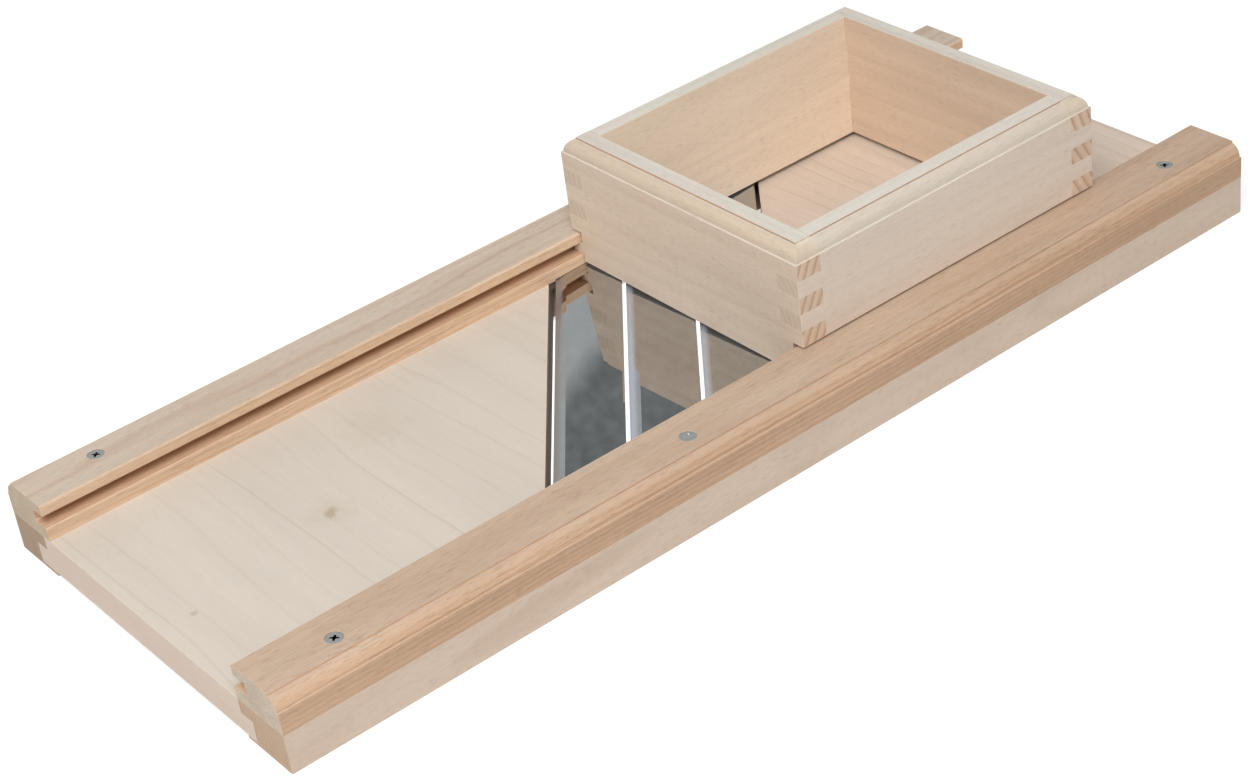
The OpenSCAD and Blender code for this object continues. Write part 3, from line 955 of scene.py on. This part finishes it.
class SLICER_OT_decks(bpy.types.Operator):
    """Pale beech with crosswise grain for the two deck boards"""

    bl_idname = "slicer.decks"
    bl_label = "Finish Decks"

    def execute(self, context):
        look = context.scene.beech
        low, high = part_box("front_deck")
        brown, soft = (0.30, 0.19, 0.10), (0.52, 0.40, 0.28)
        knots = [
            ((low.x + inset, across, high.z), size, strength, shade)
            for inset, across, size, strength, shade in (
                (look.knot_inset, 0.0004, 0.0075, 0.5, brown),
                (look.knot_inset, 0.0004, 0.022, 0.22, soft),
                (0.1315, 0.036, 0.034, 0.22, soft),
                (0.0156, -0.0142, 0.0040, 0.45, brown),
            )
        ]
        board = {
            "grain": "Y",
            "end": (0.62, 0.5, 0.4),
            "line": look.deck_line,
            "end_depth": 0.4,
            "edge": 0.3,
        }
        plank(
            "front_deck", **board, top=look.deck, side=(0.88, 0.72, 0.595),
            pith=(-0.9, -2.6), ring=0.0036, wander=0.34, ring_depth=0.29, line_width=0.12,
            fleck_depth=0.07, slide=0.7, tint=0.12, knots=knots,
        )
        plank(
            "rear_deck", **board, top=look.rear, side=look.rear,
            pith=(0.9, -1.5), ring=0.0034, wander=0.4, ring_depth=0.34, line_width=0.25,
            fleck_depth=0.14, slide=1.9, tint=0.5,
        )
        for name in ("front_deck", "rear_deck"):
            ease(name, Short=2.0 * MM, Along_X=1.0)
        return {"FINISHED"}


class SLICER_OT_blades(bpy.types.Operator):
    """Polished steel for the three blades"""

    bl_idname = "slicer.blades"
    bl_label = "Finish Blades"

    def execute(self, context):
        look = context.scene.steel
        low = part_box("blade_front")[0]
        across = Vector((math.cos(BLADE_RUN), -math.sin(BLADE_RUN), 0.0))
        first = across.dot(Vector((low.x, low.y, 0.0)))
        pitch = across.x * (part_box("blade_middle")[0].x - low.x)
        bright = steel_blade("polished blade steel", look.ground, across, first, pitch)
        # the first blade's own copy has browner facets, a painted reflection of the wood
        dim = steel_blade("first blade steel", look.first_facet_reflection, across, first, pitch)
        for name, steel in (("blade_front", dim), ("blade_middle", bright), ("blade_rear", bright)):
            cover(name, steel)
            join_triangles(NODES[name], math.radians(0.3))
            bevel = round_edges(NODES[name], 0.03 * MM, "ANGLE")
            bevel.angle_limit = math.radians(3)
        return {"FINISHED"}


class SLICER_OT_box(bpy.types.Operator):
    """Finger-jointed beech walls of the sliding box"""

    bl_idname = "slicer.box"
    bl_label = "Finish Box"

    def execute(self, context):
        look = context.scene.beech
        front_low, front_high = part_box("box_front_wall")
        back_low, back_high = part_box("box_back_wall")
        near_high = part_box("box_near_wall")[1]
        far_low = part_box("box_far_wall")[0]
        moulding = front_high.z - look.rim_depth
        quirk = front_high.z - look.rim_quirk
        ends = {
            "top": look.box_rim,
            "end": (0.745, 0.57, 0.43),
            "line": (0.36, 0.155, 0.085),
            "grain": "Y",
            "ring_depth": 0.15,
            "line_width": 0.5,
            "end_depth": 0.85,
        }
        sides = {
            "top": look.box_rim,
            "end": (0.69, 0.56, 0.44),
            "line": look.box_line,
            "wander": 0.5,
            "ring_depth": 0.18,
            "line_width": 0.4,
            "end_depth": 0.4,
        }
        plank(
            "box_front_wall", **ends, side=look.box, pith=(front_low.x - 0.30, 0.20),
            ring=0.0042, wander=0.16, slide=0.3, tint=0.35,
            crown=(moulding, (0.68, 0.57, 0.44), (-1.0, 0.0, 0.0), quirk),
        )
        plank(
            "box_back_wall", **ends, side=(0.745, 0.58, 0.44), pith=(back_high.x + 0.26, 0.19),
            ring=0.0043, wander=0.18, slide=1.2, tint=0.45,
            crown=(moulding, (0.69, 0.60, 0.47), (1.0, 0.0, 0.0), quirk),
        )
        plank(
            "box_near_wall", **sides, side=look.box_side, pith=(near_high.y + 0.05, 0.03),
            ring=0.0032, slide=2.4, tint=0.25,
            crown=(moulding, (0.67, 0.595, 0.50), (0.0, -1.0, 0.0), quirk),
        )
        plank(
            "box_far_wall", **sides, side=(0.88, 0.735, 0.585), pith=(far_low.y - 0.06, 0.07),
            ring=0.0034, slide=3.6, tint=0.3,
            crown=(moulding, (0.69, 0.62, 0.50), (0.0, 1.0, 0.0), quirk),
        )
        core_low = (front_high.x - CORE_MARGIN, near_high.y - CORE_MARGIN, 0.0)
        core_high = (back_low.x + CORE_MARGIN, far_low.y + CORE_MARGIN, 0.0)
        for name in ("box_front_wall", "box_back_wall", "box_near_wall", "box_far_wall"):
            ease(name, Short=13.5 * MM, Core_Low=core_low, Core_High=core_high,
                 Crown_Height=moulding + MITRE_MARGIN)
        return {"FINISHED"}


class SLICER_OT_screws(bpy.types.Operator):
    """Six zinc-plated countersunk screws with cross recesses"""

    bl_idname = "slicer.screws"
    bl_label = "Make Screws"

    def execute(self, context):
        size = context.scene.screws
        look = context.scene.steel
        low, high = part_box("rail_screws")
        whole = bmesh.new()
        for centre in screw_places():
            one = bpy.data.meshes.new("one screw")
            depth = high.z - low.z
            spun_screw(one, centre, high.z, depth, size.head, size.shank, size.recess)
            whole.from_mesh(one)
            bpy.data.meshes.remove(one)
        mesh = bpy.data.meshes.new("rail_screw_set")
        whole.to_mesh(mesh)
        whole.free()
        piece = bpy.data.objects.new("rail_screw_set", mesh)
        context.scene.collection.objects.link(piece)
        mesh.materials.append(zinc_plate("zinc plate", look.zinc, look.zinc_roughness))
        nodes_modifier(piece, shared("smooth"), Angle=math.radians(35))
        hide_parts("rail_screws")
        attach(piece, "board")
        return {"FINISHED"}


class SLICER_OT_stage(bpy.types.Operator):
    """Pale floor, soft studio light and the camera"""

    bl_idname = "slicer.stage"
    bl_label = "Set Stage"

    def execute(self, context):
        scene = context.scene
        stage = scene.stage
        scene.view_settings.view_transform = "Standard"
        scene.view_settings.look = "None"
        make_floor(stage)
        make_light_card()
        make_world(scene, stage)
        make_lights(stage)
        make_camera(scene, stage)
        return {"FINISHED"}


def plain_plane(name, low, high, height):
    """A flat rectangle of the stage, between its low and its high corner."""
    made = bmesh.new()
    corners = [
        made.verts.new((x, y, height))
        for x, y in ((low[0], low[1]), (high[0], low[1]), (high[0], high[1]), (low[0], high[1]))
    ]
    made.faces.new(corners)
    mesh = bpy.data.meshes.new(name)
    made.to_mesh(mesh)
    made.free()
    piece = bpy.data.objects.new(name, mesh)
    bpy.context.scene.collection.objects.link(piece)
    return piece


def glowing_ground(name, shade, glow):
    """A plain matt ground that the camera sees a little brighter."""
    material, tree, shader = new_material(name)
    shader.inputs["Base Color"].default_value = (*shade, 1.0)
    shader.inputs["Roughness"].default_value = 0.9
    shader.inputs["Specular IOR Level"].default_value = 0.0
    shader.inputs["Emission Color"].default_value = (1.0, 1.0, 1.0, 1.0)
    ray = put(tree, "ShaderNodeLightPath")
    seen = times(tree, ray.outputs["Is Camera Ray"], glow)
    join(tree, seen, shader.inputs["Emission Strength"])
    return material


def make_floor(stage):
    floor = plain_plane("floor", (-FLOOR_HALF, -FLOOR_HALF), (FLOOR_HALF, FLOOR_HALF), 0.0)
    floor.data.materials.append(glowing_ground("pale floor", stage.floor, stage.glow))


def make_light_card():
    """Cards under the blades: a white one in front of the box, and under the box a dark one that is
    painted shade for the slots seen inside it.
    """
    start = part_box("blade_front")[0].x
    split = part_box("box_front_wall")[0].x + CARD_SPLIT
    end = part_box("blade_rear")[1].x + CARD_BEYOND
    card = plain_plane("light_card", (start, CARD_NEAR), (split, CARD_FAR), CARD_HEIGHT)
    card.data.materials.append(glowing_ground("light card", (0.8, 0.8, 0.8), 1.1))
    # painted shade: a dark card under the box, so that the slots seen inside the box look shaded
    plain = plain_plane("plain_card", (split, CARD_NEAR), (end, CARD_FAR), CARD_HEIGHT)
    plain.data.materials.append(glowing_ground("plain card", (0.10, 0.08, 0.07), 0.0))


def make_world(scene, stage):
    """A pale room with a light band low down and a dim, mottled part above it."""
    world = bpy.data.worlds.new("pale room")
    scene.world = world
    world.use_nodes = True
    tree = world.node_tree
    tree.nodes.clear()
    look = put(tree, "ShaderNodeTexCoord").outputs["Generated"]
    towards = vector_sum(tree, "DOT_PRODUCT", look, FAR_SIDE)
    side = ramp(tree, towards, [(0.84, 0.0), (0.90, 1.0)])
    parts = axes(tree, look)
    tilt = fused(tree, parts[0], ROOM_TILT, parts[2])
    # the ramp's own middle is the edge
    upper = sums(tree, "SUBTRACT", tilt, BAND_TOP - 0.5)
    upper = ramp(tree, upper, [(0.4994, 0.0), (0.5006, 1.0)])
    mottle = noise(tree, look, {"Scale": 320.0, "Detail": 5.0, "Roughness": 0.6})
    mottle = ramp(tree, mottle, [(0.32, 0.0), (0.68, 1.0)])
    grey = blend_colours(tree, mottle, (0.15, 0.162, 0.165), (0.325, 0.337, 0.332))
    band = blend_colours(tree, mottle, (0.52, 0.545, 0.535), (0.60, 0.62, 0.61))
    shade = blend_colours(tree, upper, band, grey)
    room = (stage.room, stage.room, stage.room)
    shade = blend_colours(tree, side, room, shade)
    background = put(tree, "ShaderNodeBackground")
    join(tree, shade, background.inputs["Color"])
    white = put(tree, "ShaderNodeBackground", {"Color": (1.0, 1.0, 1.0, 1.0), "Strength": 1.0})
    ray = put(tree, "ShaderNodeLightPath")
    either = put(tree, "ShaderNodeMixShader")
    join(tree, ray.outputs["Is Camera Ray"], either.inputs[0])
    join(tree, background.outputs[0], either.inputs[1])
    join(tree, white.outputs[0], either.inputs[2])
    output = put(tree, "ShaderNodeOutputWorld")
    join(tree, either.outputs[0], output.inputs[0])


def make_lights(stage):
    light = bpy.data.lights.new("key_light", "AREA")
    light.energy = stage.key
    light.shape = "SQUARE"
    light.size = LAMP_SIZE
    lamp = bpy.data.objects.new("key_light", light)
    lamp.location = LAMP_PLACE
    lamp.rotation_mode = "QUATERNION"
    aim = LAMP_AIM - lamp.location
    lamp.rotation_quaternion = aim.to_track_quat("-Z", "Y")
    bpy.context.scene.collection.objects.link(lamp)


def make_camera(scene, stage):
    camera = bpy.data.cameras.new("camera")
    camera.lens = stage.lens
    camera.sensor_width = 36.0
    camera.clip_start = 0.05
    camera.clip_end = 100.0
    holder = bpy.data.objects.new("camera", camera)
    scene.collection.objects.link(holder)
    look = CAMERA_LOOK.normalized()
    right = (CAMERA_RIGHT - look * CAMERA_RIGHT.dot(look)).normalized()
    up = right.cross(look)
    turn = Matrix((right, up, -look)).transposed()
    holder.matrix_world = Matrix.Translation(CAMERA_PLACE) @ turn.to_4x4()
    scene.camera = holder


class SLICER_PT_panel(bpy.types.Panel):
    """Everything that makes up the slicing board"""

    bl_idname = "SLICER_PT_panel"
    bl_label = "Slicing Board"
    bl_space_type = "VIEW_3D"
    bl_region_type = "UI"
    bl_category = "Slicing Board"

    def draw(self, context):
        column = self.layout.column()
        for name in STEPS:
            column.operator("slicer." + name)
        for name in SETTINGS:
            group = getattr(context.scene, name)
            for key in group.bl_rna.properties.keys():
                if key not in ("rna_type", "name"):
                    column.prop(group, key)


STEPS = ("rails", "decks", "blades", "box", "screws", "stage")
SETTINGS = {
    "beech": BeechSettings,
    "steel": SteelSettings,
    "screws": ScrewSettings,
    "stage": StageSettings,
}
CLASSES = (
    *SETTINGS.values(),
    SLICER_OT_rails,
    SLICER_OT_decks,
    SLICER_OT_blades,
    SLICER_OT_box,
    SLICER_OT_screws,
    SLICER_OT_stage,
    SLICER_PT_panel,
)


def register():
    for kind in CLASSES:
        bpy.utils.register_class(kind)
    for name, kind in SETTINGS.items():
        setattr(bpy.types.Scene, name, PointerProperty(type=kind))


def unregister():
    for name in SETTINGS:
        delattr(bpy.types.Scene, name)
    for kind in reversed(CLASSES):
        bpy.utils.unregister_class(kind)


def main():
    register()
    for name in STEPS:
        if getattr(bpy.ops.slicer, name)() != {"FINISHED"}:
            raise RuntimeError("the step " + name + " did not finish")
    bpy.context.view_layer.update()


if __name__ == "__main__":
    main()
